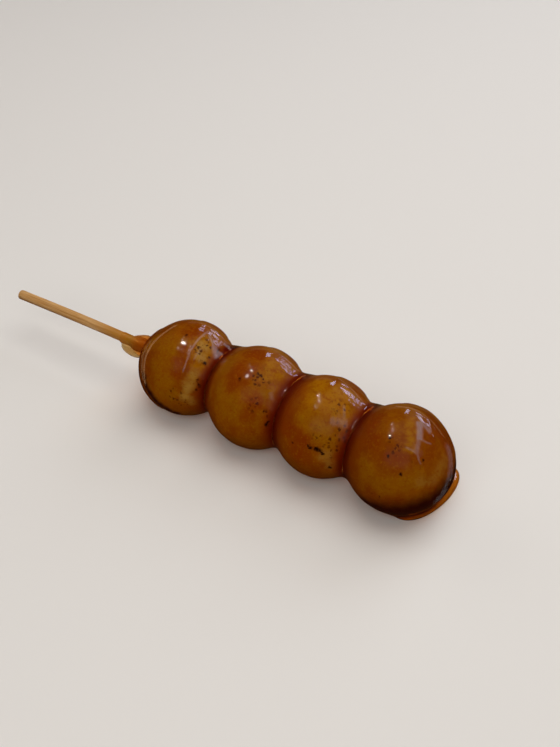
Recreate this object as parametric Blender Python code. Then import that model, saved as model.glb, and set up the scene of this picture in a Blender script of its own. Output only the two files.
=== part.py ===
"""Mitarashi dango skewer: four glazed rice dumplings pressed together on a round bamboo stick.

Metres, +Z up. The row lies along X with the bare end of the stick towards -X, each dumpling sagged
onto a small flat spot at Z = 0. The origin is under the middle of the whole length and width.
"""

import math

import bmesh
import bpy
from mathutils import Vector

MM = 0.001
GAP = 0.3 * MM  # clearance between pieces that touch

# Bamboo stick
STICK_LENGTH = 150 * MM
STICK_RADIUS = 1.6 * MM
STICK_AXIS_HEIGHT = 15.4 * MM
STICK_CHAMFER = 0.35 * MM
STICK_POINT_LENGTH = 8 * MM
STICK_POINT_RADIUS = 0.3 * MM
STICK_SIDES = 24

# Dumplings, from the bare end of the stick to its point
DUMPLING_RADII = (15.2 * MM, 15.6 * MM, 15.3 * MM, 16.0 * MM)
DUMPLING_SPACINGS = (26.4 * MM, 24.0 * MM, 25.1 * MM)
DUMPLING_CENTRE_HEIGHT = 14.9 * MM
BARE_STICK_TO_FIRST_CENTRE = 70.7 * MM
PRESSED_EDGE_SHARPNESS = 22  # higher gives a tighter edge round each pressed face
UNEVENNESS = 0.014  # share of the radius
SAG = 0.02  # how far the underside bulges before the flat spot cuts it, as a share of the radius
ROUND_STEPS = 22  # rings of faces from end to end
ROUND_SIDES = 36
BORE_RADIUS = STICK_RADIUS + GAP
BORE_RIM = 1.5 * MM  # from the bore's edge out to the first ring of the rounded surface

# Glaze that has run along the stick and set as a collar, with a drip hanging from it
COLLAR_LENGTH = 11 * MM
COLLAR_FILM_WALL = 0.3 * MM
COLLAR_FILM_SHARE = 0.42  # of its length that is only a film on the stick, before the shoulder
COLLAR_ROOT_WALL = 2.4 * MM
COLLAR_RINGS = 10
COLLAR_REACH = 25.6 * MM  # from the first dumpling's centre to the collar's thin end
DRIP_HALF_SIZE = Vector((3.5, 1.2, 2.9)) * MM
DRIP_FROM_CENTRE = 23.2 * MM
DRIP_BELOW_AXIS = 3.9 * MM

# Glaze that has run down and set as a lip round the foot of the last dumpling
FOOT_HALF_SIZE = Vector((6.3, 14.4, 2.6)) * MM
FOOT_OFFSET = Vector((6.8, 5.5, 0.8)) * MM  # from the flat spot's centre
FOOT_TURN = math.radians(-8.4)  # about the vertical

ROW_LENGTH = BARE_STICK_TO_FIRST_CENTRE + sum(DUMPLING_SPACINGS) + DUMPLING_RADII[-1]
TAIL_X = -ROW_LENGTH / 2
ROW_Y = -2.0 * MM  # the lip reaches further back than the dumplings reach forward


def dumpling_centres():
    """X of each dumpling's centre."""
    centres = [TAIL_X + BARE_STICK_TO_FIRST_CENTRE]
    for spacing in DUMPLING_SPACINGS:
        centres.append(centres[-1] + spacing)
    return centres


def pressed_planes(centres):
    """X of each plane where two neighbours are pressed flat: where their spheres would cross."""
    planes = []
    for i, distance in enumerate(DUMPLING_SPACINGS):
        near, far = DUMPLING_RADII[i], DUMPLING_RADII[i + 1]
        planes.append(centres[i] + (distance**2 + near**2 - far**2) / (2 * distance))
    return planes


def clear_scene():
    for old in list(bpy.data.objects):
        bpy.data.objects.remove(old)


def make_material(name, colour, roughness):
    material = bpy.data.materials.new(name)
    material.use_nodes = True
    shader = material.node_tree.nodes["Principled BSDF"]
    shader.inputs["Base Color"].default_value = (*colour, 1)
    shader.inputs["Roughness"].default_value = roughness
    shader.inputs["Metallic"].default_value = 0
    return material


def add_object(name, shape, location, parent, material=None):
    """Turns a bmesh into an object that is shaded smooth except across its real edges."""
    bmesh.ops.recalc_face_normals(shape, faces=shape.faces)
    mesh = bpy.data.meshes.new(name)
    shape.to_mesh(mesh)
    shape.free()
    mesh.shade_smooth()
    mesh.set_sharp_from_angle(angle=math.radians(40))
    obj = bpy.data.objects.new(name, mesh)
    bpy.context.scene.collection.objects.link(obj)
    obj.location = location
    obj.parent = parent
    if material:
        mesh.materials.append(material)
    return obj


def skin_rings(rings, looped=False):
    """A bmesh skinned over rings of points. A ring of one point closes an end to a pole."""
    shape = bmesh.new()
    layers = [[shape.verts.new(point) for point in ring] for ring in rings]
    pairs = list(zip(layers, layers[1:]))
    if looped:
        pairs.append((layers[-1], layers[0]))
    for near, far in pairs:
        sides = max(len(near), len(far))
        for i in range(sides):
            j = (i + 1) % sides
            corners = (near[i % len(near)], near[j % len(near)], far[j % len(far)], far[i % len(far)])
            shape.faces.new(list(dict.fromkeys(corners)))
    return shape


def circle_ring(x, radius, sides, centre_z=0.0):
    """A ring round an axis that runs along X."""
    turns = [2 * math.pi * i / sides for i in range(sides)]
    return [Vector((x, radius * math.cos(a), centre_z + radius * math.sin(a))) for a in turns]


def soft_min(a, b, sharpness):
    return (a**-sharpness + b**-sharpness) ** (-1 / sharpness)


def unevenness(direction, number):
    """A slow wave over the sphere of directions, different for each hand-rolled dumpling."""
    first = math.sin(2.3 * direction.x + 1.7 * direction.z + 1.9 * number)
    second = math.sin(2.9 * direction.y - 1.3 * direction.x + 2.6 * number)
    third = math.sin(4.1 * direction.z + 2.2 * direction.y + 0.8 * number)
    return UNEVENNESS * (0.5 * first + 0.35 * second + 0.25 * third)


def dumpling_point(angle, turn, number, pressed):
    """A point of the rounded surface. angle runs from the -X end to the +X end."""
    direction = Vector((-math.cos(angle), math.sin(angle) * math.cos(turn), math.sin(angle) * math.sin(turn)))
    reach = DUMPLING_RADII[number] * (1 + unevenness(direction, number) + SAG * max(0, -direction.z))
    for side, plane in zip((-1, 1), pressed):
        along = side * direction.x
        if plane and along > 0:
            reach = soft_min(reach, plane / along, PRESSED_EDGE_SHARPNESS)
    point = direction * reach
    point.z = max(point.z, -DUMPLING_CENTRE_HEIGHT)
    return point


def bore_mouth(number, side, pressed):
    """The edge of the bore where it leaves the dumpling on one side."""
    ring = circle_ring(0, BORE_RADIUS, ROUND_SIDES, STICK_AXIS_HEIGHT - DUMPLING_CENTRE_HEIGHT)
    plane = pressed[0] if side < 0 else pressed[1]
    for point in ring:
        off_axis = point.y**2 + point.z**2
        point.x = side * (plane or math.sqrt(DUMPLING_RADII[number] ** 2 - off_axis))
    return ring


def dumpling_shape(number, centre, pressed, bore_end=None):
    """A sphere pressed flat against its neighbours, on a flat spot, with a bore for the stick.

    pressed holds the distances to the pressed faces, or None at a free end. With bore_end, the X of
    the stick's point, the bore is blind and narrows round the point.
    """
    first = math.asin((BORE_RADIUS + BORE_RIM) / DUMPLING_RADII[number])
    last = math.pi if bore_end else math.pi - first
    steps = [first + (last - first) * i / ROUND_STEPS for i in range(ROUND_STEPS + (not bore_end))]
    turns = [2 * math.pi * i / ROUND_SIDES for i in range(ROUND_SIDES)]
    rings = [[dumpling_point(angle, turn, number, pressed) for turn in turns] for angle in steps]
    rings.insert(0, bore_mouth(number, -1, pressed))
    if not bore_end:
        rings.append(bore_mouth(number, 1, pressed))
        return skin_rings(rings, looped=True)
    rings.append([dumpling_point(math.pi, 0, number, pressed)])
    rise = STICK_AXIS_HEIGHT - DUMPLING_CENTRE_HEIGHT
    tip = bore_end - centre
    rings.insert(0, circle_ring(tip - STICK_POINT_LENGTH, BORE_RADIUS, ROUND_SIDES, rise))
    rings.insert(0, circle_ring(tip, STICK_POINT_RADIUS + GAP, ROUND_SIDES, rise))
    rings.insert(0, [Vector((tip + 2 * GAP, 0, rise))])
    return skin_rings(rings)


def add_dumplings(parent, material):
    centres = dumpling_centres()
    planes = pressed_planes(centres)
    for number, centre in enumerate(centres):
        left = centre - planes[number - 1] - GAP / 2 if number > 0 else None
        right = planes[number] - centre - GAP / 2 if number < len(planes) else None
        blind_end = None if right else TAIL_X + STICK_LENGTH
        shape = dumpling_shape(number, centre, (left, right), blind_end)
        add_object(f"dango_{number + 1}", shape, (centre, 0, DUMPLING_CENTRE_HEIGHT), parent, material)


def add_stick(parent, material):
    """A turned rod: a blunt chamfered end at X = 0 of its own frame, and a point at the far end."""
    profile = (
        (0, STICK_RADIUS - STICK_CHAMFER),
        (STICK_CHAMFER, STICK_RADIUS),
        (STICK_LENGTH - STICK_POINT_LENGTH, STICK_RADIUS),
        (STICK_LENGTH, STICK_POINT_RADIUS),
    )
    rings = [circle_ring(x, radius, STICK_SIDES) for x, radius in profile]
    ends = ([Vector((0, 0, 0))], [Vector((STICK_LENGTH, 0, 0))])
    shape = skin_rings([ends[0], *rings, ends[1]])
    add_object("bamboo_stick", shape, (TAIL_X, 0, STICK_AXIS_HEIGHT), parent, material)


def half_size_blob(half_size, rings, sides, floor=None):
    """An ellipsoid about its own origin, flattened where it would go below floor."""
    shape = bmesh.new()
    bmesh.ops.create_uvsphere(shape, u_segments=sides, v_segments=rings, radius=1)
    for vertex in shape.verts:
        vertex.co = Vector(a * b for a, b in zip(vertex.co, half_size))
        if floor is not None:
            vertex.co.z = max(vertex.co.z, floor)
    return shape


def hide_as_cutter(obj):
    obj.hide_render = True
    obj.display_type = "WIRE"


def combine(obj, other, operation):
    modifier = obj.modifiers.new(f"{operation.lower()} {other.name}", "BOOLEAN")
    modifier.operation = operation
    modifier.solver = "EXACT"
    modifier.object = other


def dumpling_cutter(number, centre, parent):
    """A sphere that clears a dumpling, with its unevenness, by the gap."""
    shape = bmesh.new()
    radius = DUMPLING_RADII[number] * (1 + UNEVENNESS + SAG) + GAP
    bmesh.ops.create_uvsphere(shape, u_segments=64, v_segments=40, radius=radius)
    cutter = add_object(f"cutter_{number + 1}", shape, (centre, 0, DUMPLING_CENTRE_HEIGHT), parent)
    hide_as_cutter(cutter)
    return cutter


def collar_wall(share):
    """Wall thickness along the collar, from its thin end (0) to the dumpling (1)."""
    rise = max(0, (share - COLLAR_FILM_SHARE) / (1 - COLLAR_FILM_SHARE))
    return COLLAR_FILM_WALL + (COLLAR_ROOT_WALL - COLLAR_FILM_WALL) * math.sin(math.pi / 2 * rise)


def add_collar(parent, material):
    centre = dumpling_centres()[0]
    start = centre - COLLAR_REACH
    shares = [i / COLLAR_RINGS for i in range(COLLAR_RINGS + 1)]
    outer = [circle_ring(s * COLLAR_LENGTH, BORE_RADIUS + collar_wall(s), STICK_SIDES) for s in shares]
    inner = [circle_ring(x, BORE_RADIUS, STICK_SIDES) for x in (COLLAR_LENGTH, 0)]
    shape = skin_rings(outer + inner, looped=True)
    collar = add_object("glaze_collar", shape, (start, 0, STICK_AXIS_HEIGHT), parent, material)
    drip_centre = (centre - DRIP_FROM_CENTRE, 0, STICK_AXIS_HEIGHT - DRIP_BELOW_AXIS)
    drip = add_object("drip", half_size_blob(DRIP_HALF_SIZE, 12, 16), drip_centre, parent)
    bore_rings = [circle_ring(x, BORE_RADIUS, STICK_SIDES) for x in (-COLLAR_LENGTH, 2 * COLLAR_LENGTH)]
    ends = [[Vector((x, 0, 0))] for x in (-COLLAR_LENGTH, 2 * COLLAR_LENGTH)]
    bore_shape = skin_rings([ends[0], *bore_rings, ends[1]])
    bore = add_object("bore_cutter", bore_shape, (start, 0, STICK_AXIS_HEIGHT), parent)
    hide_as_cutter(drip)
    hide_as_cutter(bore)
    combine(drip, bore, "DIFFERENCE")
    combine(collar, drip, "UNION")
    combine(collar, dumpling_cutter(0, centre, parent), "DIFFERENCE")


def add_foot(parent, material):
    number = len(DUMPLING_RADII) - 1
    centre = dumpling_centres()[number]
    shape = half_size_blob(FOOT_HALF_SIZE, 14, 36, floor=-FOOT_OFFSET.z)
    foot = add_object("glaze_foot", shape, Vector((centre, 0, 0)) + FOOT_OFFSET, parent, material)
    foot.rotation_euler.z = FOOT_TURN
    combine(foot, dumpling_cutter(number, centre, parent), "DIFFERENCE")


def main():
    clear_scene()
    skewer = bpy.data.objects.new("dango_skewer", None)
    bpy.context.scene.collection.objects.link(skewer)
    skewer.location.y = ROW_Y
    bamboo = make_material("bamboo", (0.52, 0.29, 0.10), 0.55)
    toasted = make_material("toasted_glazed_dough", (0.27, 0.10, 0.012), 0.12)
    glaze = make_material("set_soy_glaze", (0.16, 0.045, 0.006), 0.06)
    add_stick(skewer, bamboo)
    add_dumplings(skewer, toasted)
    add_collar(skewer, glaze)
    add_foot(skewer, glaze)


main()
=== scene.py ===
import math
import bpy
import numpy as np
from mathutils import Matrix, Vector


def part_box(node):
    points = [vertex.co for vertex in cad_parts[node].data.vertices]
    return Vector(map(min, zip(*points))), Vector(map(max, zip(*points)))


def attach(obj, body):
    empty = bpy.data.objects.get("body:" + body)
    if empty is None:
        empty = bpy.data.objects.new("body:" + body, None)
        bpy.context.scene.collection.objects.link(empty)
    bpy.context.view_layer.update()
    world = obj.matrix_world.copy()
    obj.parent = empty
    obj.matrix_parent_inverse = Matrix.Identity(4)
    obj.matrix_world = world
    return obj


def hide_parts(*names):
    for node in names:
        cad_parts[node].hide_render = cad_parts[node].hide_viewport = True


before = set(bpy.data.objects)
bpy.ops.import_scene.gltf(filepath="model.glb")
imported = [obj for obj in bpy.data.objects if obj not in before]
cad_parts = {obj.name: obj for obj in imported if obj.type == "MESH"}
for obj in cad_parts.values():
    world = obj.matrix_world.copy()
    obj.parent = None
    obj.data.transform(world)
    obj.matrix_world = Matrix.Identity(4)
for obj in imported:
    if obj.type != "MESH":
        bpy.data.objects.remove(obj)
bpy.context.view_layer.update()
mm = 0.001  # shapes are worked out in millimetres and scaled as they become meshes

row = {
    "radii": (15.2, 15.6, 15.3, 16.0),  # of the glazed dumplings, bare end of the stick first
    "spacings": (26.4, 24.0, 25.1),  # centre to centre
    "stickToFirst": 70.7,  # from the stick's blunt end to the first centre
    "centreHeight": 14.9,
    "unevenness": 0.014,  # hand-rolled wobble, share of the radius
    "sag": 0.02,
}
# places where a dumpling was rolled flatter: dumpling, (turn, lift), reach in degrees, depth
flatSpots = (
    (0, (-84, 56), 36, 1.2),
    (0, (178, 42), 26, 0.35),
    (2, (145, 52), 24, 0.65),
    (3, (124, 38), 30, 1.2),
)
stickLow, stickHigh = (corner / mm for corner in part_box("bamboo_stick"))
stickRadius = (stickHigh.z - stickLow.z) / 2
stickAxis = (stickHigh.z + stickLow.z) / 2
rowY = (stickHigh.y + stickLow.y) / 2  # pieces are made about the row's own axis, then set down here
footLow, footHigh = (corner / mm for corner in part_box("glaze_foot"))
collarLow, collarHigh = (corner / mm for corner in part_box("glaze_collar"))

centreX = [stickLow.x + row["stickToFirst"]]
for spacing in row["spacings"]:
    centreX.append(centreX[-1] + spacing)
pressedX = []  # planes where neighbours are pressed together
for n, spacing in enumerate(row["spacings"]):
    near, far = row["radii"][n], row["radii"][n + 1]
    pressedX.append(centreX[n] + (spacing**2 + near**2 - far**2) / (2 * spacing))


def centreOf(n):
    return Vector((centreX[n], 0, row["centreHeight"]))


def towards(turn, lift):
    # unit vector: turn is counted from the near side (-Y) towards +X, lift is up from level, in degrees
    a, e = math.radians(turn), math.radians(lift)
    return Vector((math.sin(a) * math.cos(e), -math.cos(a) * math.cos(e), math.sin(e)))


# shapes are distance fields: each takes an array of points and is negative inside
def melt(a, b, k):
    # union with a fillet about k wide
    h = np.clip(0.5 + 0.5 * (b - a) / k, 0, 1)
    return b + (a - b) * h - k * h * (1 - h)


def trim(a, b, k):
    # intersection with an edge rounded by about k
    return -melt(-a, -b, k)


def ballField(p, n, inset=0.0):
    x, y, z = p[..., 0] - centreX[n], p[..., 1], p[..., 2] - row["centreHeight"]
    away = np.sqrt(x * x + y * y + z * z) + 1e-9
    u, v, w = x / away, y / away, z / away
    wobble = 0.5 * np.sin(2.3 * u + 1.7 * w + 1.9 * n) + 0.35 * np.sin(2.9 * v - 1.3 * u + 2.6 * n)
    wobble = row["unevenness"] * (wobble + 0.25 * np.sin(4.1 * w + 2.2 * v + 0.8 * n))
    body = away + inset - row["radii"][n] * (1 + wobble + row["sag"] * np.maximum(0, -w))
    for number, middle, reach, depth in flatSpots:
        if number == n:
            facing = np.stack((u, v, w), -1) @ np.array(towards(*middle))
            body = body + depth * np.exp((facing - 1) / (1 - math.cos(math.radians(reach))))
    return body


def eggField(p, centre, half, turn=0.0):
    # ellipsoid turned about the vertical, close to true distance near its surface
    q = p - np.array(centre)
    c, s = math.cos(math.radians(turn)), math.sin(math.radians(turn))
    ahead, aside = q[..., 0] * c + q[..., 1] * s, q[..., 1] * c - q[..., 0] * s
    q = np.stack((ahead, aside, q[..., 2]), -1) / np.array(half)
    size = np.sqrt((q * q).sum(-1)) + 1e-9
    slope = np.sqrt(((q / np.array(half)) ** 2).sum(-1)) + 1e-9
    return (size - 1) * size / slope


def rodField(p, radius):
    return np.sqrt(p[..., 1] ** 2 + (p[..., 2] - stickAxis) ** 2) - radius


dough = {
    "under": 0.95,  # how deep the dough lies under the glaze
    "pressed": 2.4,  # fillet where two dumplings stick together
    "cutRound": 0.5,
    "pressGap": 0.06,
    "flatAt": 0.35,  # the dough's own flat underside
    "flatRound": 0.5,
    "dimples": 0.07,
    "cell": 0.6,
}


def rowField(p):
    # all four dumplings, stuck together
    body = ballField(p, 0, dough["under"])
    for n in (1, 2, 3):
        body = melt(body, ballField(p, n, dough["under"]), dough["pressed"])
    x, y, z = p[..., 0], p[..., 1], p[..., 2]
    body = body + dough["dimples"] * np.sin(0.9 * x + 0.5 * z) * np.sin(0.8 * y - 0.6 * z + 0.2 * x)
    return trim(body, dough["flatAt"] - z, dough["flatRound"])


def doughField(p, n):
    body = rowField(p)
    if n > 0:
        body = trim(body, pressedX[n - 1] + dough["pressGap"] - p[..., 0], dough["cutRound"])
    if n < len(pressedX):
        body = trim(body, p[..., 0] - pressedX[n] + dough["pressGap"], dough["cutRound"])
    return body


glaze = {
    "web": 5.0,  # fillet between neighbouring dumplings
    "saddleRound": 3.0,
    "swell": 0.035,  # slow thick and thin places
    "skin": 0.12,  # the dough reaches this far into the glaze wall
    "collarLength": 11.0,
    "filmShare": 0.42,  # of the collar that is only a film on the stick, before its shoulder
    "film": 0.12,
    "collarRoot": 2.2,
    "collarMelt": 1.6,  # fillet where the collar meets the first dumpling
    "dropHalf": (4.4, 1.25, 2.5),
    "dropBack": 22.3,  # from the first centre
    "dropBelow": 3.6,  # below the stick's axis
    "dropMelt": 1.8,
    "lipHalf": (6.0, 13.35, 2.6),
    "lipOffset": (7.4, 5.6, 0.8),
    "lipTurn": -8.0,
    "lipRound": 4.0,
    "lipClear": (0.4, 0.4, 0.5),  # clear glaze over the lip's cloudy inside
    "lipFilm": 0.25,  # and the least that is left of it anywhere
    "bedHalf": (8.5, 10.5, 3.0),  # thick glaze between the last dumpling and what it lies on, opaque and dark: painted shade under it, partly glaze pooled there
    "bedOffset": (2.5, 5.0, 0.5),
    "floorGap": 0.05,
    "footRound": 0.6,
    "cell": 0.45,
    "hollowCell": 0.9,
}
# glaze pooled on top where two dumplings meet: offset from the pressed plane, side, height, half size
saddles = (
    (2.4, 3.0, 19.5, (6.3, 7.0, 5.8)),
    (1.8, 3.5, 19.2, (5.2, 7.0, 5.6)),
    (1.0, 3.5, 18.7, (4.6, 7.0, 5.6)),
)
# glaze that ran and set in thin ridges: dumpling, start and end as (turn, lift), width, height
runs = (
    (0, (126, 63), (66, 66), 0.6, 0.10),
    (0, (70, 66), (42, 54), 0.6, 0.24),
    (0, (44, 56), (31, 33), 0.6, 0.24),
    (0, (118, 61), (87, 33), 0.8, 0.18),
    (0, (92, 32), (120, 40), 0.7, 0.22),
    (0, (31, 59), (24, 45), 0.45, 0.14),
    (0, (-100, 40), (-8, -42), 0.9, 0.6),
    (0, (-47, 54), (-89, 75), 0.7, 0.14),
    (0, (-172, 48), (150, 25), 0.7, 0.40),
    (0, (176, 70), (127, 39), 0.6, 0.12),
    (1, (163, 65), (132, 38), 0.9, 0.14),
    (1, (-165, 74), (123, 48), 0.7, 0.12),
    (1, (-168, 48), (150, 28), 0.7, 0.30),
    (2, (165, 60), (133, 38), 0.9, 0.14),
    (2, (-168, 72), (127, 42), 0.7, 0.12),
    (2, (-168, 48), (148, 27), 0.7, 0.30),
    (3, (141, 65), (99, 57), 0.8, 0.30),
    (3, (99, 57), (86, 48), 0.8, 0.26),
    (3, (112, 68), (99, 57), 0.7, 0.20),
    (3, (-139, 73), (107, 28), 0.7, 0.12),
    (3, (-152, 48), (120, 8), 0.7, 0.28),
)
# tiny bubbles set in the glaze: dumpling, (turn, lift)
bubbles = (
    (0, (27, 46)), (0, (67, 73)), (0, (96, 20)), (1, (88, 41)), (1, (26, 12)), (1, (-150, 35)),
    (2, (80, 46)), (2, (-160, 20)), (2, (60, 8)), (3, (40, 2)), (3, (41, -4)), (3, (45, -7)),
    (3, (46, 37)), (3, (170, 8)),
)
# patches of fine wrinkles: dumpling, (turn, lift), radius, height
wrinkles = (
    (0, (90, 52), 6.5, 0.05),
    (1, (130, 55), 5.0, 0.035),
    (2, (110, 55), 4.0, 0.03),
    (3, (110, 50), 4.5, 0.03),
)


def collarField(p):
    share = np.clip((p[..., 0] - collarLow.x) / glaze["collarLength"], 0, 1)
    rise = np.clip((share - glaze["filmShare"]) / (1 - glaze["filmShare"]), 0, 1)
    wall = glaze["film"] + (glaze["collarRoot"] - glaze["film"]) * np.sin(np.pi / 2 * rise)
    body = rodField(p, stickRadius) - wall
    body = trim(body, collarLow.x + 0.4 - p[..., 0], 0.3)
    body = trim(body, p[..., 0] - centreX[0] + 8, 0.5)
    drop = (centreX[0] - glaze["dropBack"], -0.2, stickAxis - glaze["dropBelow"])
    return melt(body, eggField(p, drop, glaze["dropHalf"]), glaze["dropMelt"])


def reliefField(p):
    # how far the glaze stands proud of its plain shape
    x, y, z = p[..., 0], p[..., 1], p[..., 2]
    slow = np.sin(0.55 * x + 0.4 * y + 1.1) * np.sin(0.5 * z - 0.3 * x + 0.4)
    quick = np.sin(1.1 * x - 0.9 * z + 2) * np.sin(1.2 * y + 0.5 * z)
    proud = glaze["swell"] * (slow + 0.1 * quick)
    fine = np.sin(2.9 * x + 1.3 * y - 1.9 * z) + np.sin(1.7 * x - 2.6 * y + 2.3 * z + 1)
    for n in range(4):
        out = p - np.array(centreOf(n))
        away = np.sqrt((out * out).sum(-1)) + 1e-9
        mine = np.abs(away - row["radii"][n]) < 2.5
        aim = out[mine] / away[mine][:, None]
        extra = np.zeros(len(aim))
        for number, start, end, width, height in runs:
            if number == n:
                a, b = np.array(towards(*start)), np.array(towards(*end))
                side = np.cross(a, b)
                span = np.arctan2(np.linalg.norm(side), a @ b)
                side /= np.linalg.norm(side)
                ahead = np.cross(side, a)
                along = np.clip(np.arctan2(aim @ ahead, aim @ a), 0, span)
                nearest = np.cos(along)[:, None] * a + np.sin(along)[:, None] * ahead
                off = np.arccos(np.clip((aim * nearest).sum(-1), -1, 1)) * row["radii"][n]
                taper = np.clip(4 * along * (span - along) / span**2, 0, 1) ** 0.4
                extra += height * taper * np.exp(-((off / width) ** 2))
        for number, middle, radius, height in wrinkles:
            if number == n:
                off = np.arccos(np.clip(aim @ np.array(towards(*middle)), -1, 1)) * row["radii"][n]
                extra += height * fine[mine] * np.exp(-((off / radius) ** 2))
        proud[mine] += extra
    return proud


def glazeField(p):
    body = ballField(p, 0)
    for n in (1, 2, 3):
        body = melt(body, ballField(p, n), glaze["web"])
    for plane, (ahead, side, height, half) in zip(pressedX, saddles):
        body = melt(body, eggField(p, (plane + ahead, side, height), half), glaze["saddleRound"])
    body = melt(body, collarField(p), glaze["collarMelt"])
    lip = np.array((centreX[3], 0, 0)) + np.array(glaze["lipOffset"])
    body = melt(body, eggField(p, lip, glaze["lipHalf"], glaze["lipTurn"]), glaze["lipRound"])
    near = np.abs(body) < 1.2
    body[near] -= reliefField(p[near])
    return trim(body, glaze["floorGap"] - p[..., 2], glaze["footRound"])


def puddleField(p):
    # cloudy thick glaze inside the lip
    lip = np.array((centreX[3], 0, 0)) + np.array(glaze["lipOffset"])
    half = np.array(glaze["lipHalf"]) - np.array(glaze["lipClear"])
    bed = np.array((centreX[3], 0, 0)) + np.array(glaze["bedOffset"])
    body = np.minimum(eggField(p, lip, half, glaze["lipTurn"]), eggField(p, bed, glaze["bedHalf"]))
    return trim(body, glazeField(p) + glaze["lipFilm"], 0.2)


def hollowField(p):
    # the space in the glaze that the dough and the stick fill
    channel = np.maximum(rodField(p, stickRadius), collarLow.x + 1.2 - p[..., 0])
    channel = np.maximum(channel, p[..., 0] - centreX[3])
    return np.minimum(rowField(p), channel) + glaze["skin"]


def slopeOf(field, points):
    # how fast the field grows along each axis
    slope = [field(points + d) - field(points - d) for d in np.eye(3) * 0.02]
    return np.stack(slope, -1) / 0.04


def skinOf(field, low, high, cell):
    # one vertex in each grid cell that the surface passes through, then moved onto it
    low = np.array(low, float)
    count = np.ceil((np.array(high) - low) / cell).astype(int) + 1
    axes = [low[k] + cell * np.arange(count[k]) for k in range(3)]
    value = field(np.stack(np.meshgrid(*axes, indexing="ij"), -1))
    steps = [(a, b, c) for a in (0, 1) for b in (0, 1) for c in (0, 1)]
    corners = [value[a:count[0] - 1 + a, b:count[1] - 1 + b, c:count[2] - 1 + c] for a, b, c in steps]
    inside = sum((corner < 0).astype(int) for corner in corners)
    crossed = (inside > 0) & (inside < 8)
    index = np.full(crossed.shape, -1)
    cells = np.argwhere(crossed)
    index[crossed] = np.arange(len(cells))
    at = np.stack([corner[crossed] for corner in corners], -1)
    total, hits = np.zeros((len(cells), 3)), np.zeros(len(cells))
    for i in range(8):
        for j in range(i + 1, 8):
            step = np.subtract(steps[j], steps[i])
            if np.abs(step).sum() == 1:
                cut = (at[:, i] < 0) != (at[:, j] < 0)
                share = at[cut, i] / (at[cut, i] - at[cut, j])
                total[cut] += np.array(steps[i]) + step * share[:, None]
                hits[cut] += 1
    points = low + cell * (cells + total / hits[:, None])
    quads = []
    for axis in range(3):
        others = [k for k in range(3) if k != axis]
        window = [slice(None)] * 3
        for k in others:
            window[k] = slice(1, count[k] - 1)
        before = value.take(range(count[axis] - 1), axis)[tuple(window)] < 0
        after = value.take(range(1, count[axis]), axis)[tuple(window)] < 0
        spots = np.argwhere(before != after)
        outward = before[tuple(spots.T)]
        for k in others:
            spots[:, k] += 1
        ring = []
        for i, j in ((0, 0), (1, 0), (1, 1), (0, 1)):
            corner = spots.copy()
            corner[:, others[0]] -= i
            corner[:, others[1]] -= j
            ring.append(index[tuple(corner.T)])
        ring = np.stack(ring, 1)
        turned = ~outward if axis != 1 else outward
        ring[turned] = ring[turned][:, ::-1]
        quads.append(ring)
    for _ in range(4):
        slope = slopeOf(field, points)
        size = np.maximum((slope**2).sum(-1), 0.05)
        points = points - np.clip(field(points) / size, -0.3, 0.3)[:, None] * slope
    return points, np.concatenate(quads)


def meshPiece(name, points, faces, finish):
    mesh = bpy.data.meshes.new(name)
    mesh.vertices.add(len(points))
    mesh.vertices.foreach_set("co", (np.asarray(points) * mm).astype(np.float32).ravel())
    mesh.loops.add(faces.size)
    mesh.loops.foreach_set("vertex_index", faces.astype(np.int32).ravel())
    mesh.polygons.add(len(faces))
    mesh.polygons.foreach_set("loop_start", np.arange(0, faces.size, faces.shape[1], dtype=np.int32))
    mesh.update(calc_edges=True)
    mesh.validate()
    mesh.shade_smooth()
    mesh.materials.append(finish)
    piece = bpy.data.objects.new(name, mesh)
    piece.location.y = rowY * mm
    bpy.context.scene.collection.objects.link(piece)
    return piece


class Wire:
    # a socket that can be used in sums
    def __init__(self, tree, socket):
        self.tree = tree
        self.socket = socket

    def maths(self, operation, first, second):
        node = self.tree.nodes.new("ShaderNodeMath")
        node.operation = operation
        for slot, value in zip(node.inputs, (first, second)):
            plug(self.tree, slot, value)
        return Wire(self.tree, node.outputs[0])

    def __add__(self, other):
        return self.maths("ADD", self, other)

    def __radd__(self, other):
        return self.maths("ADD", other, self)

    def __sub__(self, other):
        return self.maths("SUBTRACT", self, other)

    def __rsub__(self, other):
        return self.maths("SUBTRACT", other, self)

    def __mul__(self, other):
        return self.maths("MULTIPLY", self, other)

    def __rmul__(self, other):
        return self.maths("MULTIPLY", other, self)


def plug(tree, slot, value):
    if isinstance(value, Wire):
        tree.links.new(value.socket, slot)
    elif slot.type == "RGBA" and len(value) == 3:
        slot.default_value = (*value, 1)
    else:
        slot.default_value = value


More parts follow.
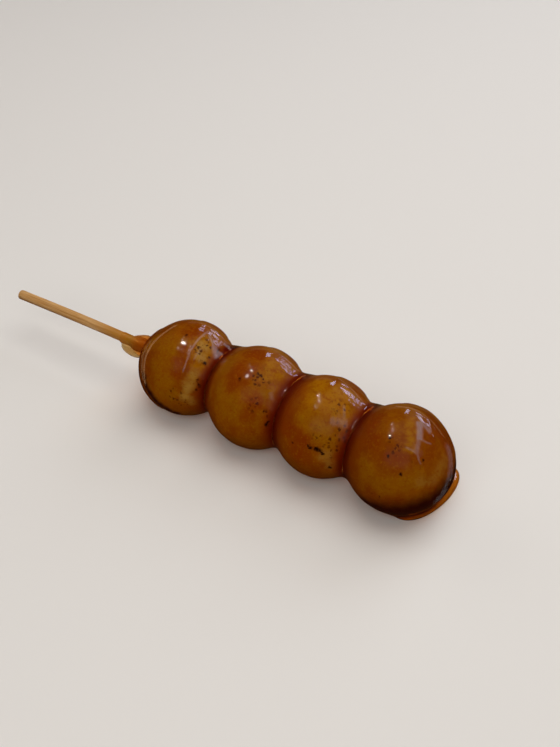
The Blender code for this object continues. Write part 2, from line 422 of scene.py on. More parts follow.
class Finish:
    # the nodes of one material, or of the world
    def __init__(self, name, kind="Material"):
        owners = {"Material": bpy.data.materials, "World": bpy.data.worlds}
        self.kind = kind
        self.owner = owners[kind].new(name)
        self.owner.use_nodes = True
        self.tree = self.owner.node_tree
        self.tree.nodes.clear()

    def node(self, kind, settings=None, sockets=None, output=0):
        made = self.tree.nodes.new("ShaderNode" + kind)
        for key, value in (settings or {}).items():
            setattr(made, key, value)
        for key, value in (sockets or {}).items():
            if isinstance(key, int):
                slot = made.inputs[key]
            else:
                slot = next(s for s in made.inputs if s.name == key and s.enabled)
            plug(self.tree, slot, value)
        if isinstance(output, int):
            return Wire(self.tree, made.outputs[output])
        return Wire(self.tree, next(s for s in made.outputs if s.name == output and s.enabled))

    def place(self):
        return self.node("TexCoord", output="Object")

    def stretch(self, at, scale):
        return self.node("VectorMath", {"operation": "MULTIPLY"}, {0: at, 1: scale})

    def noise(self, at, scale, detail=3, rough=0.5):
        sockets = {"Vector": at, "Scale": scale, "Detail": detail, "Roughness": rough}
        return self.node("TexNoise", {}, sockets, "Fac")

    def step(self, value, low, high):
        # 0 at low, 1 at high, whichever is larger
        settings = {"interpolation_type": "SMOOTHSTEP"}
        return self.node("MapRange", settings, {"Value": value, "From Min": low, "From Max": high})

    def mix(self, share, a, b):
        return self.node("Mix", {"data_type": "RGBA"}, {"Factor": share, "A": a, "B": b}, "Result")

    def stray(self, at, scale, reach):
        # the same place, pushed about by up to reach
        push = self.node("TexNoise", {}, {"Vector": at, "Scale": scale, "Detail": 2}, "Color")
        push = self.node("VectorMath", {"operation": "SUBTRACT"}, {0: push, 1: (0.5, 0.5, 0.5)})
        push = self.node("VectorMath", {"operation": "SCALE"}, {0: push, "Scale": reach * 2 * mm})
        return self.node("VectorMath", {"operation": "ADD"}, {0: at, 1: push})

    def spots(self, places, at):
        # 0 at the middle of the nearest spot, 1 at its rim
        nearest = None
        for centre, radius in places:
            away = self.node("VectorMath", {"operation": "DISTANCE"}, {0: at, 1: centre * mm}, "Value")
            away = away * (1 / (radius * mm))
            if nearest is not None:
                away = self.node("Math", {"operation": "MINIMUM"}, {0: nearest, 1: away})
            nearest = away
        return nearest

    def arc(self, at, n, start, end, width):
        # 1 on an arc drawn over dumpling n between two (turn, lift) directions, 0 away from it
        first, last = towards(*start), towards(*end)
        outward = self.node("VectorMath", {"operation": "SUBTRACT"}, {0: at, 1: centreOf(n) * mm})
        ends = {0: outward, 1: first.cross(last).normalized()}
        across = self.node("VectorMath", {"operation": "DOT_PRODUCT"}, ends, "Value")
        across = self.node("Math", {"operation": "ABSOLUTE"}, {0: across}) * (1 / (width * mm))
        middle = centreOf(n) + (first + last).normalized() * row["radii"][n]
        half = (first - last).length / 2 * row["radii"][n] + width
        return self.step(across, 1.2, 0.3) * self.step(self.spots([(middle, half)], at), 1.05, 0.85)

    def surface(self, shader, volume=None):
        out = self.tree.nodes.new("ShaderNodeOutput" + self.kind)
        plug(self.tree, out.inputs["Surface"], shader)
        if volume:
            plug(self.tree, out.inputs["Volume"], volume)
        return self.owner


glazeLook = {
    "light": (0.98, 0.88, 0.66),  # tint of light crossing its surface, where it is thin
    "dark": (0.93, 0.74, 0.42),
    "ior": 1.38,
    "roughness": (0.09, 0.12),
    "ripple": 0.009,  # fine set ripples, mm
    "bubbleRadius": 0.9,
    "bubbleHeight": 0.025,
    "runoff": (0.95, 0.88, 0.68),  # the film that ran along the stick
    "runoffFrom": (14, 19),  # from the first centre
    "drop": (0.57, 0.49, 0.34),  # the drop that hangs from it
    "dropFrom": (1.5, 2.3),  # below the stick's axis
    "straight": (0.97, 0.86, 0.60),
    "depthColour": (0.90, 0.60, 0.04),  # what is left of each colour inside it
    "density": 480.0,
    "paintedWarmSheen": (0.60, 0.32, 0.14),  # painted sheen lines and painted reflection patches, laid on its surface as a matt film
    "paintedCoolReflection": (0.56, 0.56, 0.64),
    "patchiness": 0.6,
}
# painted sheen and painted reflections in thin lines and patches: dumpling, from and to as (turn, lift),
# half width, strength, film
paintedSheenLines = (
    (0, (-52, 46), (-24, -1), 0.85, 0.42, "paintedWarmSheen"),
    (0, (-50, 47), (-102, 70), 0.75, 0.42, "paintedWarmSheen"),
    (0, (-62, 36), (-32, 2), 1.3, 0.24, "paintedWarmSheen"),
    (0, (172, 66), (124, 34), 0.45, 0.50, "paintedWarmSheen"),
    (0, (148, 68), (119, 42), 0.30, 0.40, "paintedWarmSheen"),
    (0, (129, 62), (80, 68), 0.40, 0.16, "paintedCoolReflection"),
    (0, (82, 68), (45, 57), 0.40, 0.16, "paintedCoolReflection"),
    (0, (46, 58), (32, 34), 0.34, 0.14, "paintedCoolReflection"),
    (0, (66, 56), (49, 46), 0.30, 0.10, "paintedCoolReflection"),
    (0, (114, 61), (93, 49), 0.45, 0.22, "paintedCoolReflection"),
    (0, (93, 50), (87, 33), 0.45, 0.24, "paintedCoolReflection"),
    (0, (119, 41), (88, 32), 0.34, 0.22, "paintedCoolReflection"),
    (0, (92, 48), (84, 39), 1.2, 0.20, "paintedCoolReflection"),
    (1, (-165, 58), (151, 60), 0.28, 0.50, "paintedWarmSheen"),
    (1, (151, 60), (124, 38), 0.34, 0.55, "paintedWarmSheen"),
    (1, (136, 70), (114, 50), 0.24, 0.30, "paintedWarmSheen"),
    (1, (54, 42), (53, 38), 0.8, 0.06, "paintedCoolReflection"),
    (2, (-175, 61), (142, 60), 0.28, 0.50, "paintedWarmSheen"),
    (2, (142, 60), (118, 46), 0.30, 0.45, "paintedWarmSheen"),
    (2, (46, 47), (56, 44), 1.8, 0.08, "paintedCoolReflection"),
    (2, (72, 59), (62, 50), 0.6, 0.08, "paintedCoolReflection"),
    (3, (-130, 66), (178, 71), 0.26, 0.50, "paintedWarmSheen"),
    (3, (178, 71), (118, 40), 0.30, 0.34, "paintedWarmSheen"),
    (3, (96, 73), (67, 63), 1.2, 0.20, "paintedCoolReflection"),
    (3, (108, 71), (98, 61), 0.9, 0.16, "paintedCoolReflection"),
    (3, (68, 64), (50, 50), 0.9, 0.10, "paintedCoolReflection"),
    (3, (50, 51), (52, 38), 0.35, 0.09, "paintedCoolReflection"),
    (3, (35, 55), (47, 50), 0.45, 0.10, "paintedCoolReflection"),
    (3, (68, 59), (80, 51), 0.45, 0.09, "paintedCoolReflection"),
    (3, (106, 28), (74, -14), 2.4, 0.08, "paintedCoolReflection"),
)


def glazeFinish():
    f = Finish("soy_glaze")
    look, at = glazeLook, f.place()
    flow = f.step(f.noise(f.stray(at, 90, 4.0), 160, 3, 0.5), 0.35, 0.65)
    along = f.node("SeparateXYZ", {}, {"Vector": at}, "X")
    ranOff = f.step(along, *((centreX[0] - back) * mm for back in look["runoffFrom"]))
    height = f.node("SeparateXYZ", {}, {"Vector": at}, "Z")
    hanging = f.step(height, *((stickAxis - below) * mm for below in look["dropFrom"]))
    runoff = f.mix(hanging, look["runoff"], look["drop"])
    places = [(centreOf(n) + towards(*way) * row["radii"][n], look["bubbleRadius"]) for n, way in bubbles]
    domes = f.step(f.spots(places, at), 1.0, 0.0) * look["bubbleHeight"]
    relief = f.noise(at, 260, 0) * look["ripple"] + domes
    smooth, dull = look["roughness"]
    bump = f.node("Bump", {}, {"Strength": 1.0, "Distance": mm, "Height": relief}, "Normal")
    clear = {
        "Base Color": f.mix(ranOff, f.mix(flow, look["light"], look["dark"]), runoff),
        "Roughness": f.noise(at, 240) * (dull - smooth) + smooth,
        "IOR": look["ior"],
        "Transmission Weight": 1.0,
        "Normal": bump,
    }
    glass = f.node("BsdfPrincipled", {}, clear)
    wavy = f.stray(at, 240, 0.5)
    # painted sheen and painted reflections, mixed into the glass as a matt film
    film, share = look["paintedWarmSheen"], 0.0
    for n, start, end, width, strength, kind in paintedSheenLines:
        line = f.arc(wavy, n, start, end, width)
        film = f.mix(line, film, look[kind])
        share = f.node("Math", {"operation": "MAXIMUM"}, {0: share, 1: line * strength})
    patchy = 1 - look["patchiness"] / 2 + look["patchiness"] * f.noise(at, 900, 2)
    paintedSheen = f.node("BsdfDiffuse", {}, {"Color": film, "Normal": bump})
    glass = f.node("MixShader", {}, {0: share * patchy, 1: glass, 2: paintedSheen})
    straight = f.node("BsdfTransparent", {}, {"Color": look["straight"]})
    fromLamp = f.node("LightPath", {}, {}, "Is Shadow Ray")
    fromDough = f.node("LightPath", {}, {}, "Is Diffuse Ray")
    passes = f.node("Math", {"operation": "MAXIMUM"}, {0: fromLamp, 1: fromDough})
    shader = f.node("MixShader", {}, {0: passes, 1: glass, 2: straight})
    depth = {"Color": look["depthColour"], "Density": look["density"]}
    return f.surface(shader, f.node("VolumeAbsorption", {}, depth))


doughLook = {
    "amber": (0.305, 0.145, 0.003),
    "amberDark": (0.25, 0.088, 0.002),
    "olive": (0.315, 0.182, 0.004),
    "golden": (0.415, 0.262, 0.004),
    "red": (0.24, 0.062, 0.002),
    "pale": (0.42, 0.35, 0.15),
    # low: painted shade colour of the lower parts
    "low": (0.11, 0.042, 0.002),
    "seam": (0.13, 0.019, 0.001),
    # near black: painted shade along the bottom edges, partly glaze pooled there
    "poolAndShade": (0.028, 0.004, 0.004),
    "char": (0.008, 0.003, 0.002),
    "freckle": (0.06, 0.018, 0.004),
    "seamBefore": (4.6, 4.2, 3.7),  # how far each pressed seam darkens the dumpling before it
    "seamAfter": (4.4, 6.8, 6.1),
    "seamLean": (0.9, 0.3, 0.3),  # how much narrower the dark before each seam is near its top
    "dusk": (0.0, 0.0, 0.0, 0.16),  # how much darker each dumpling is all over
    "palest": (1.0, 0.0, 0.55, 0.4),
    "goldenest": (1.0, 0.65, 0.95, 0.85),
    "paintedShadeBelow": (17.0, 17.0, 17.0, 19.5),  # height under which it is darkened, painted shade of its lower part
    "paintedShadeShare": 0.88,
    "blotches": (0.5, 0.9, 0.8),  # how strong the loose olive, placed olive and placed red blotches are
    "mottling": (0.30, 0.45),  # golden and red mottling, a few millimetres across
    "graining": (0.42, 0.48),  # golden and red grain, under a millimetre
    "seamShares": (0.85, 0.95),
    "freckleShare": 0.9,
    "scorch": 0.6,  # the brown halo round each char mark
}
# toasting on each dumpling, with painted shade and light where marked, every place as (turn, lift,
# radius)
toasting = (
    {
        "olive": ((-21, 58, 4.0), (2, 18, 4.5), (-10, 33, 4.0), (14, 0, 4.0), (29, -40, 4.5),
                  (10, 60, 3.0), (170, 10, 4.5), (-150, 30, 4.0)),
        "red": ((22, 47, 2.8), (29, 60, 2.4), (115, 80, 4.2), (24, 30, 2.0), (94, 46, 2.0),
                (165, 35, 3.0)),
        # golden: the last two places, on its left side, are painted light that brightens that side
        "golden": ((75, 58, 4.2), (66, 48, 3.8), (100, 60, 3.0), (58, 38, 2.8), (-62, 40, 3.6),
                   (-70, 18, 3.2)),
        "pale": ((40, 14, 2.8), (35, 2, 2.6), (46, 26, 2.4), (42, -6, 2.4), (76, 58, 2.6),
                 (64, 48, 2.4)),
        # painted shade along its lower left edge
        "poolAndShade": ((-31, 3, 2.0), (-26, -6, 2.4), (-19, -14, 2.5), (-12, -21, 2.5), (-4, -27, 2.4),
                 (5, -32, 2.3), (15, -37, 2.0)),
        "freckled": ((78, 55, 4.5), (22, 5, 2.6), (19, -4, 2.4), (36, -12, 2.6), (50, 16, 2.2),
                     (64, 60, 2.4), (-160, 20, 3.0), (165, 5, 2.6)),
        "char": ((39, 81, 0.5), (66, 39, 0.6), (101, 41, 0.45), (97, 40, 0.35), (77, 43, 0.35),
                 (65, 63, 0.3), (68, 59, 0.35), (57, 58, 0.3), (49, 22, 0.3), (51, 16, 0.35),
                 (47, 9, 0.3), (-158, 22, 0.45), (-163, 15, 0.35), (168, 8, 0.5), (172, 3, 0.35)),
    },
    {
        "olive": ((-13, 27, 5.0), (-26, 34, 4.0), (0, 18, 5.0), (12, 20, 4.0), (-60, 52, 4.0),
                  (175, 15, 4.5)),
        "red": ((-11, 57, 3.6), (-23, 68, 3.2), (9, 70, 3.4), (-14, 47, 2.8), (30, 35, 3.2),
                (-140, 80, 4.0), (22, 22, 3.0), (-165, 30, 3.5), (160, 0, 3.5)),
        "golden": ((105, 72, 3.0), (90, 58, 2.7), (66, 66, 2.4), (60, 48, 2.0), (178, 45, 3.0)),
        "freckled": ((42, 62, 3.2), (29, 31, 2.4), (41, 24, 2.0), (170, 25, 3.2)),
        "char": ((-5, 57, 0.45), (36, 68, 0.45), (40, 66, 0.35), (44, 65, 0.4), (47, 61, 0.3),
                 (46, 57, 0.3), (29, 56, 0.35), (41, 24, 0.35), (45, 8, 0.65), (47, 10, 0.4),
                 (172, 28, 0.5), (165, 22, 0.4), (-170, 12, 0.45), (-172, 8, 0.3)),
    },
    {
        "olive": ((4, 46, 4.5), (23, 38, 4.5), (30, 25, 5.0), (-175, 20, 5.0)),
        "red": ((-1, 18, 4.0), (-6, 4, 4.5), (-20, 24, 4.0), (165, 35, 3.5)),
        "golden": ((45, 74, 4.5), (120, 71, 4.2), (70, 54, 3.6), (-10, 70, 3.8), (64, 65, 4.0),
                   (-107, 78, 4.0)),
        "pale": ((33, 8, 2.4), (38, -4, 2.6)),
        "freckled": ((30, 30, 4.2), (55, 34, 3.6), (70, 60, 3.0), (40, 14, 2.6), (-172, 10, 3.4)),
        "char": ((11, 18, 0.4), (13, 16, 0.5), (19, 16, 0.6), (22, 15.5, 0.75), (25, 14, 0.5),
                 (29, 10, 0.45), (27, 12, 0.3), (37, -11, 0.55), (36, -9, 0.35), (-11, 13, 0.3),
                 (52, 72, 0.3), (-175, 12, 0.6), (-178, 14, 0.5), (178, 13, 0.4), (166, -5, 0.4)),
    },
    {
        "olive": ((11, 16, 5.0), (30, 20, 5.0), (46, 22, 4.0), (-15, 20, 4.0), (175, 0, 5.0)),
        "red": ((-65, 52, 7.0), (-26, 50, 5.0), (18, 42, 5.0), (126, 46, 5.0), (112, 31, 4.0),
                (-160, 25, 5.0)),
        "golden": ((76, 82, 2.2), (57, 73, 2.2), (47, 64, 2.0), (42, 57, 1.8), (165, 30, 3.0)),
        "pale": ((89, 25, 2.4), (80, 20, 2.6), (66, 18, 2.6), (52, 19, 2.4)),
        "freckled": ((15, 55, 2.4), (46, 37, 2.0), (178, 15, 3.0)),
        # painted shade along its bottom edge, partly glaze pooled there
        "poolAndShade": ((-10, -32, 3.8), (3, -33, 5.2), (17, -32, 6.0), (31, -29, 6.2), (45, -24, 6.2),
                 (58, -19, 5.8), (71, -14, 5.2), (83, -9, 4.6), (95, -6, 4.0), (107, -3, 3.4)),
        "char": ((8, 44, 0.5), (9, 42, 0.3), (28, 28, 0.45), (-1, 63, 0.35), (-1, -4, 0.3),
                 (7, -5, 0.3), (57, 40, 0.3), (170, 20, 0.5), (176, 16, 0.35), (-165, -5, 0.4)),
    },
)


def doughFinish(n):
    f = Finish(f"toasted_dough_{n + 1}")
    look, places, at = doughLook, toasting[n], f.place()

    def soft(kind, where, start=1.3, full=0.3):
        depth = row["radii"][n] - dough["under"]
        middles = [(towards(turn, lift), radius) for turn, lift, radius in places[kind]]
        middles = [(centreOf(n) + way * depth, radius) for way, radius in middles]
        return f.step(f.spots(middles, where), start, full)

    loose, tight = f.stray(at, 260, 2.4), f.stray(f.stray(at, 700, 0.6), 1900, 0.45)
    broad = f.noise(at, 130, 3, 0.55)
    mottle = f.noise(at, 560, 5, 0.70)
    grain = f.noise(at, 1500, 3, 0.6)
    colour = f.mix(f.step(broad, 0.38, 0.62), look["amberDark"], look["amber"])
    looseOlive, placedOlive, placedRed = look["blotches"]
    colour = f.mix(f.step(f.noise(at, 75, 2), 0.52, 0.68) * looseOlive, colour, look["olive"])
    colour = f.mix(soft("olive", loose) * placedOlive, colour, look["olive"])
    colour = f.mix(soft("red", loose) * placedRed, colour, look["red"])
    golden = soft("golden", loose) * look["goldenest"][n] * (0.5 + 0.5 * f.step(mottle, 0.40, 0.58))
    colour = f.mix(golden, colour, look["golden"])
    if "pale" in places:
        colour = f.mix(soft("pale", loose) * look["palest"][n], colour, look["pale"])
    colour = f.mix(f.step(mottle, 0.52, 0.72) * look["mottling"][0], colour, look["golden"])
    colour = f.mix(f.step(mottle, 0.48, 0.30) * look["mottling"][1], colour, look["red"])
    colour = f.mix(f.step(grain, 0.53, 0.72) * look["graining"][0], colour, look["golden"])
    colour = f.mix(f.step(grain, 0.47, 0.28) * look["graining"][1], colour, look["red"])

    along = f.node("SeparateXYZ", {}, {"Vector": f.stray(at, 200, 1.0)}, "X")
    height = f.node("SeparateXYZ", {}, {"Vector": loose}, "Z")
    for seam, plane in enumerate(pressedX):
        if seam in (n - 1, n):
            reach = look["seamBefore"][seam] if seam == n else look["seamAfter"][seam]
            off = f.node("Math", {"operation": "ABSOLUTE"}, {0: along - plane * mm}) * (1 / (reach * mm))
            if seam == n:
                off = off * (1 + look["seamLean"][seam] * f.step(height, 17 * mm, 26 * mm))
            outer, inner = look["seamShares"]
            colour = f.mix(f.step(off, 1.15, 0.35) * outer, colour, look["red"])
            colour = f.mix(f.step(off, 0.8, 0.05) * inner, colour, look["seam"])
    # painted shade: darker towards the bottom
    colour = f.mix(f.step(height, look["paintedShadeBelow"][n] * mm, 0.0) * look["paintedShadeShare"], colour, look["low"])
    colour = f.mix(look["dusk"][n], colour, look["low"])
    # painted shade at the bottom edges of the first and last dumplings, partly pooled glaze
    if "poolAndShade" in places:
        colour = f.mix(soft("poolAndShade", f.stray(at, 260, 0.8), 1.35, 0.25), colour, look["poolAndShade"])

    cells = {"Vector": tight, "Scale": 900}
    chosen = f.node("SeparateColor", {}, {"Color": f.node("TexVoronoi", {}, cells, "Color")}, "Red")
    freckles = f.step(f.node("TexVoronoi", {}, cells), 0.50, 0.34) * f.step(chosen, 0.45, 0.52)
    colour = f.mix(freckles * soft("freckled", loose) * look["freckleShare"], colour, look["freckle"])
    colour = f.mix(soft("char", tight, 1.7, 0.8) * look["scorch"], colour, look["freckle"])
    colour = f.mix(soft("char", tight, 1.05, 0.45), colour, look["char"])

    bump = f.node("Bump", {}, {"Strength": 0.4, "Distance": 0.2 * mm, "Height": mottle}, "Normal")
    skin = {"Base Color": colour, "Roughness": 0.6, "Specular IOR Level": 0.0, "Normal": bump}
    return f.surface(f.node("BsdfPrincipled", {}, skin))


stick = {
    "sides": 48,
    "ringGap": 1.5,
    "endRound": 0.25,
    "pointLength": 7.0,  # hidden in the last dumpling
    "bow": 0.12,
    "droop": 0.8,  # of its free end
    "endTrim": 0.7,
    "light": (0.70, 0.435, 0.18),
    "dark": (0.50, 0.23, 0.05),
    "fibre": (0.30, 0.12, 0.02),
    "stainAndShade": (0.28, 0.11, 0.010),  # painted shade along its underside, with some glaze stain
    "wet": (0.42, 0.168, 0.010),
    "soaked": (0.36, 0.17, 0.008),  # under the collar
    "wetReach": 13.0,  # glaze has soaked in this far ahead of the collar
    "cutEnd": (0.56, 0.34, 0.15),
    "streaks": 0.55,
    "blotches": 0.25,
    "stainAndShadeShare": 0.9,
    "wetted": 0.8,
    "rough": (0.62, 0.32),  # dry, and where glaze has soaked in
    "ridges": 0.012,  # depth of its fibres, share of the radius
}


def bambooFinish():
    f = Finish("bamboo")
    at = f.place()
    along = f.node("SeparateXYZ", {}, {"Vector": f.stray(at, 300, 1.5)}, "X")
    grain = f.noise(f.stretch(at, (0.03, 1, 1)), 3800, 4, 0.65)
    streaks = f.noise(f.stretch(at, (0.012, 1, 1)), 1500, 2, 0.5)
    colour = f.mix(f.step(grain, 0.30, 0.68), stick["dark"], stick["light"])
    colour = f.mix(f.step(streaks, 0.56, 0.66) * stick["streaks"], colour, stick["fibre"])
    colour = f.mix(f.step(f.noise(at, 45, 2), 0.45, 0.7) * stick["blotches"], colour, stick["wet"])
    height = f.node("SeparateXYZ", {}, {"Vector": f.stray(at, 500, 0.35)}, "Z")
    # painted shade along the underside, with some glaze stain
    under = f.step(height, (stickAxis + 0.1) * mm, (stickAxis - 1.2) * mm)
    colour = f.mix(under * stick["stainAndShadeShare"], colour, stick["stainAndShade"])
    wetFrom = (collarLow.x - stick["wetReach"]) * mm
    wet = f.step(along, wetFrom, (collarLow.x - 1.0) * mm)
    colour = f.mix(wet * stick["wetted"], colour, stick["wet"])
    soaked = f.step(along, (collarLow.x + 1) * mm, (collarLow.x + 5) * mm)
    colour = f.mix(soaked, colour, stick["soaked"])
    vessels = f.node("TexVoronoi", {}, {"Vector": f.stretch(at, (0.01, 1, 1)), "Scale": 2600})
    cut = f.mix(f.step(vessels, 0.32, 0.18), stick["cutEnd"], stick["fibre"])
    straightX = f.node("SeparateXYZ", {}, {"Vector": at}, "X")
    cutAt = stickLow.x + stick["endTrim"]
    colour = f.mix(f.step(straightX, (cutAt + 0.12) * mm, (cutAt + 0.02) * mm), colour, cut)
    bump = f.node("Bump", {}, {"Strength": 0.6, "Distance": 0.08 * mm, "Height": grain}, "Normal")
    dry, soft = stick["rough"]
    skin = {"Base Color": colour, "Roughness": dry - (dry - soft) * wet, "Normal": bump}
    return f.surface(f.node("BsdfPrincipled", {}, skin))


def makeStick():
    around = np.linspace(0, 2 * np.pi, stick["sides"], endpoint=False)
    start, end = stickLow.x + stick["endTrim"], stickHigh.x
    lead = [start, start + 0.03, start + 0.09, start + stick["endRound"]]
    rest = np.arange(start + 1.0, end - 0.5, stick["ringGap"])
    stations = np.concatenate((lead, rest, [end]))
    points = []
    for x in stations:
        edge = np.clip((x - start) / stick["endRound"], 0, 1)
        radius = stickRadius - stick["endRound"] * (1 - np.sqrt(edge * (2 - edge)))
        radius = radius * np.clip((end - x) / stick["pointLength"], 0.02, 1)
        fibres = 0.35 * np.cos(9 * around + 0.05 * x) + 0.4 * np.cos(17 * around - 0.03 * x + 1)
        fibres = 1 + stick["ridges"] * (fibres + 0.5 * np.cos(3 * around + 0.04 * x))
        fibres = np.where(np.full_like(around, x) > collarLow.x - 2, 1, fibres)
        ahead = np.clip((x - start) / (collarLow.x - start), 0, 1)
        bow = stick["bow"] * np.sin(np.pi * ahead)
        axis = stickAxis - stick["droop"] * (1 - ahead) ** 1.2
        side, height = radius * fibres * np.cos(around), radius * fibres * np.sin(around)
        points.append(np.stack((np.full_like(around, x), side + bow, axis + height), -1))
    points = np.concatenate(points)
    sides, rings = stick["sides"], len(stations)
    faces = []
    for ring in range(rings - 1):
        here = ring * sides + np.arange(sides)
        following = ring * sides + (np.arange(sides) + 1) % sides
        faces.append(np.stack((here, here + sides, following + sides, following), -1))
    tip = len(points)
    middles = [(start - 0.01, 0, stickAxis - stick["droop"]), (end + 0.02, 0, stickAxis)]
    points = np.concatenate((points, middles))
    first, last = np.arange(sides), (rings - 1) * sides + np.arange(sides)
    quads = np.concatenate(faces)
    mesh = bpy.data.meshes.new("bamboo_stick_turned")
    near = [(tip, int(a), int(b)) for a, b in zip(first, np.roll(first, -1))]
    far = [(tip + 1, int(b), int(a)) for a, b in zip(last, np.roll(last, -1))]
    mesh.from_pydata((points * mm).tolist(), [], [tuple(map(int, quad)) for quad in quads] + near + far)
    mesh.shade_smooth()
    mesh.materials.append(bambooFinish())
    piece = bpy.data.objects.new("round_stick", mesh)
    piece.location.y = rowY * mm
    bpy.context.scene.collection.objects.link(piece)
    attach(piece, "root")
    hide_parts("bamboo_stick")
    print("stick made")


def makeDumplings():
    for n in range(4):
        node = f"dango_{n + 1}"
        low, high = (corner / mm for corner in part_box(node))
        low, high = low - Vector((1, 1 + rowY, 1)), high + Vector((1, 1 - rowY, 1))
        points, faces = skinOf(lambda p: doughField(p, n), low, high, dough["cell"])
        piece = meshPiece(f"dumpling_{n + 1}", points, faces, doughFinish(n))
        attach(piece, "root")
        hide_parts(node)
    print("dumplings made")


puddleLook = {
    # painted shade near the last dumpling over the deep glaze, and a rim painted lighter orange as if lit
    # through from behind
    "shadedDeep": (0.030, 0.006, 0.003),
    "backlitRim": (0.44, 0.18, 0.02),
    "shadedDeepTo": 0.50,  # share of the way out from the lip's middle
    "backlitRimFrom": 0.94,
    "clouds": 0.5,
    "cell": 0.45,
}


def puddleFinish():
    f = Finish("cloudy_glaze")
    look, at = puddleLook, f.stray(f.place(), 300, 0.6)
    middle = Vector((centreX[3], 0, 0)) + Vector(glaze["lipOffset"])
    out = f.node("VectorMath", {"operation": "SUBTRACT"}, {0: at, 1: middle * mm})
    flat = [1 / (side * mm) for side in glaze["lipHalf"][:2]]
    out = f.stretch(out, (*flat, 0))
    ahead = f.node("SeparateXYZ", {}, {"Vector": out}, "X")
    ahead = f.node("Math", {"operation": "MAXIMUM"}, {0: ahead, 1: 0.0})
    out = f.node("CombineXYZ", {}, {"X": ahead, "Y": f.node("SeparateXYZ", {}, {"Vector": out}, "Y")})
    share = f.node("VectorMath", {"operation": "LENGTH"}, {0: out}, "Value")
    colour = f.mix(f.step(share, look["shadedDeepTo"], look["backlitRimFrom"]), look["shadedDeep"], look["backlitRim"])
    colour = f.mix(f.step(f.noise(at, 420, 3, 0.6), 0.45, 0.75) * look["clouds"], colour, look["shadedDeep"])
    skin = {"Base Color": colour, "Roughness": 0.5, "Specular IOR Level": 0.0}
    return f.surface(f.node("BsdfPrincipled", {}, skin))


def makePuddle():
    room = 2.0
    middle = np.array((centreX[3], 0, 0)) + np.array(glaze["lipOffset"])
    reach = np.array((glaze["lipHalf"][1],) * 2 + (glaze["lipHalf"][2],)) + room
    points, faces = skinOf(puddleField, middle - reach, middle + reach, puddleLook["cell"])
    piece = meshPiece("lip_inside", points, faces, puddleFinish())
    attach(piece, "root")
    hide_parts("glaze_foot")
    print("lip made")


def makeGlaze():
    low = (collarLow.x - 1, -row["radii"][3] - 1.5, -0.7)
    lipBack = glaze["lipOffset"][1] + glaze["lipHalf"][1]
    high = (footHigh.x + 2.5, lipBack + 2, row["centreHeight"] + row["radii"][3] + 1.5)
    points, faces = skinOf(glazeField, low, high, glaze["cell"])
    inner, innerFaces = skinOf(hollowField, low, high, glaze["hollowCell"])
    faces = np.concatenate((faces, innerFaces[:, ::-1] + len(points)))
    piece = meshPiece("glaze_coat", np.concatenate((points, inner)), faces, glazeFinish())
    # its outside is shaded by the true slope, so that it mirrors cleanly
    slope = slopeOf(glazeField, points)
    slope /= np.linalg.norm(slope, axis=1)[:, None]
    piece.data.normals_split_custom_set_from_vertices(np.concatenate((slope, np.zeros_like(inner))))
    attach(piece, "root")
    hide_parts("glaze_collar", "glaze_foot")
    print("glaze made:", len(faces), "faces")


stage = {
    "floor": (0.86, 0.85, 0.83),
    "floorSide": 6,  # metres
    "fade": (600, 1200),  # distances over which the floor melts into the backdrop
    "backdrop": (0.62, 0.61, 0.59),
    "above": (0.040, 0.018, 0.012),
    "below": (0.022, 0.009, 0.004),
    "glow": (0.16, 0.085, 0.03),  # the pale table behind, which the glaze mirrors along its far edges
    "glowFrom": (-150, -23),
    "glowEdge": (0.90, 0.98),  # cosines of the angles where it begins and is full
    "horizon": (-0.05, 0.05),
    "aim": Vector((15.5, 10.9, 14.9)),
    "turn": 33.3,
    "lift": 40.0,
    "away": 372.3,
    "lens": 57.83,
    "lampsAim": Vector((25, rowY, 15)),
}


def makeFloor():
    bpy.ops.mesh.primitive_plane_add(size=stage["floorSide"], location=(0, 0, 0))
    floor = bpy.context.object
    floor.name = "floor"
    f = Finish("pale_floor")
    away = f.node("VectorMath", {"operation": "LENGTH"}, {0: f.place()}, "Value")
    near, far = (distance * mm for distance in stage["fade"])
    pale = f.node("BsdfDiffuse", {}, {"Color": stage["floor"]})
    melted = {0: f.step(away, near, far), 1: pale, 2: f.node("BsdfTransparent")}
    floor.data.materials.append(f.surface(f.node("MixShader", {}, melted)))
    floor.visible_glossy = False  # so that the glaze's underside stays dark and clear
    print("floor made")


def makeWorld():
    f = Finish("room", "World")
    way = f.node("TexCoord", output="Generated")

    def background(colour):
        return f.node("Background", {}, {"Color": colour})

    def blend(share, first, second):
        return f.node("MixShader", {}, {0: share, 1: first, 2: second})

    def rise(value, low, high):
        return f.node("MapRange", {}, {"Value": value, "From Min": low, "From Max": high})

    upward = rise(f.node("SeparateXYZ", {}, {"Vector": way}, "Z"), *stage["horizon"])
    around = blend(upward, background(stage["below"]), background(stage["above"]))
    ends = {0: way, 1: towards(*stage["glowFrom"])}
    facing = f.node("VectorMath", {"operation": "DOT_PRODUCT"}, ends, "Value")
    around = blend(rise(facing, *stage["glowEdge"]), around, background(stage["glow"]))
    seen = f.node("LightPath", {}, {}, "Is Camera Ray")
    bpy.context.scene.world = f.surface(blend(seen, around, background(stage["backdrop"])))
    print("room made")


warm, white, cool = (1.0, 0.93, 0.82), (1.0, 0.97, 0.92), (0.72, 0.80, 1.0)
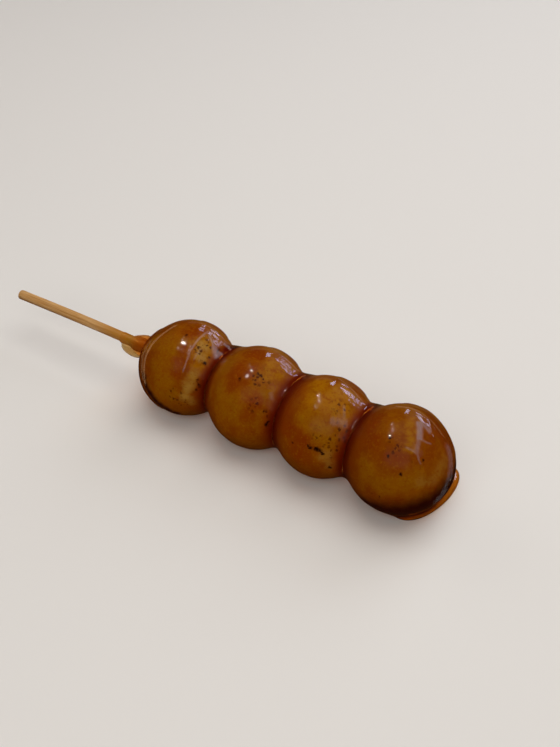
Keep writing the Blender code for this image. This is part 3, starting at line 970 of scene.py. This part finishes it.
# direction as (turn, lift), distance, width and height, power, colour, and what the light reaches
lights = {
    "soft_top": ((150, 78), 700, (700, 700), 2.9, white, "matt"),
    "soft_front": ((20, 44), 900, (900, 600), 3.1, white, "matt"),
    "soft_back": ((172, 32), 900, (600, 500), 2.2, (0.93, 0.95, 1.0), "matt"),
    "soft_left": ((-100, 35), 800, (500, 400), 0.45, white, "matt"),
    "window_wide": ((171, 20), 900, (500, 165), 1.6, cool, "gloss"),
    "window_slim": ((199, 23), 900, (60, 200), 0.24, cool, "gloss"),
    "skylight": ((88, 49), 900, (240, 360), 0.10, (0.62, 0.80, 1.0), "gloss"),
    "back_wall": ((190, 4), 1100, (1300, 240), 0.18, (1.0, 0.74, 0.38), "gloss"),
    "lamp_1": ((-107, 72), 900, (14, 14), 0.5, warm, "gloss"),
    "lamp_2": ((-62, 70), 900, (14, 14), 0.5, warm, "gloss"),
    "lamp_3": ((-122, 60), 900, (14, 14), 0.22, warm, "gloss"),
}


def makeLights():
    for name, (direction, away, size, power, colour, reach) in lights.items():
        lamp = bpy.data.lights.new(name, "AREA")
        lamp.shape = "RECTANGLE"
        lamp.size, lamp.size_y = (side * mm for side in size)
        lamp.energy = power
        lamp.color = colour
        light = bpy.data.objects.new(name, lamp)
        bpy.context.scene.collection.objects.link(light)
        back = towards(*direction)
        light.location = (stage["lampsAim"] + back * away) * mm
        light.rotation_euler = back.to_track_quat("Z", "Y").to_euler()
        light.visible_camera = False
        light.visible_glossy = reach != "matt"
        light.visible_diffuse = reach != "gloss"
    print("lights made:", len(lights))


def makeCamera():
    camera = bpy.data.objects.new("camera", bpy.data.cameras.new("camera"))
    bpy.context.scene.collection.objects.link(camera)
    camera.data.lens = stage["lens"]
    camera.data.sensor_width = 36
    camera.data.clip_start = 0.01
    back = towards(stage["turn"], stage["lift"])
    camera.location = (stage["aim"] + back * stage["away"]) * mm
    camera.rotation_euler = back.to_track_quat("Z", "Y").to_euler()
    bpy.context.scene.camera = camera
    bpy.context.scene.view_settings.view_transform = "Standard"
    print("camera set")


makeStick()
makeDumplings()
makePuddle()
makeGlaze()
makeFloor()
makeWorld()
makeLights()
makeCamera()
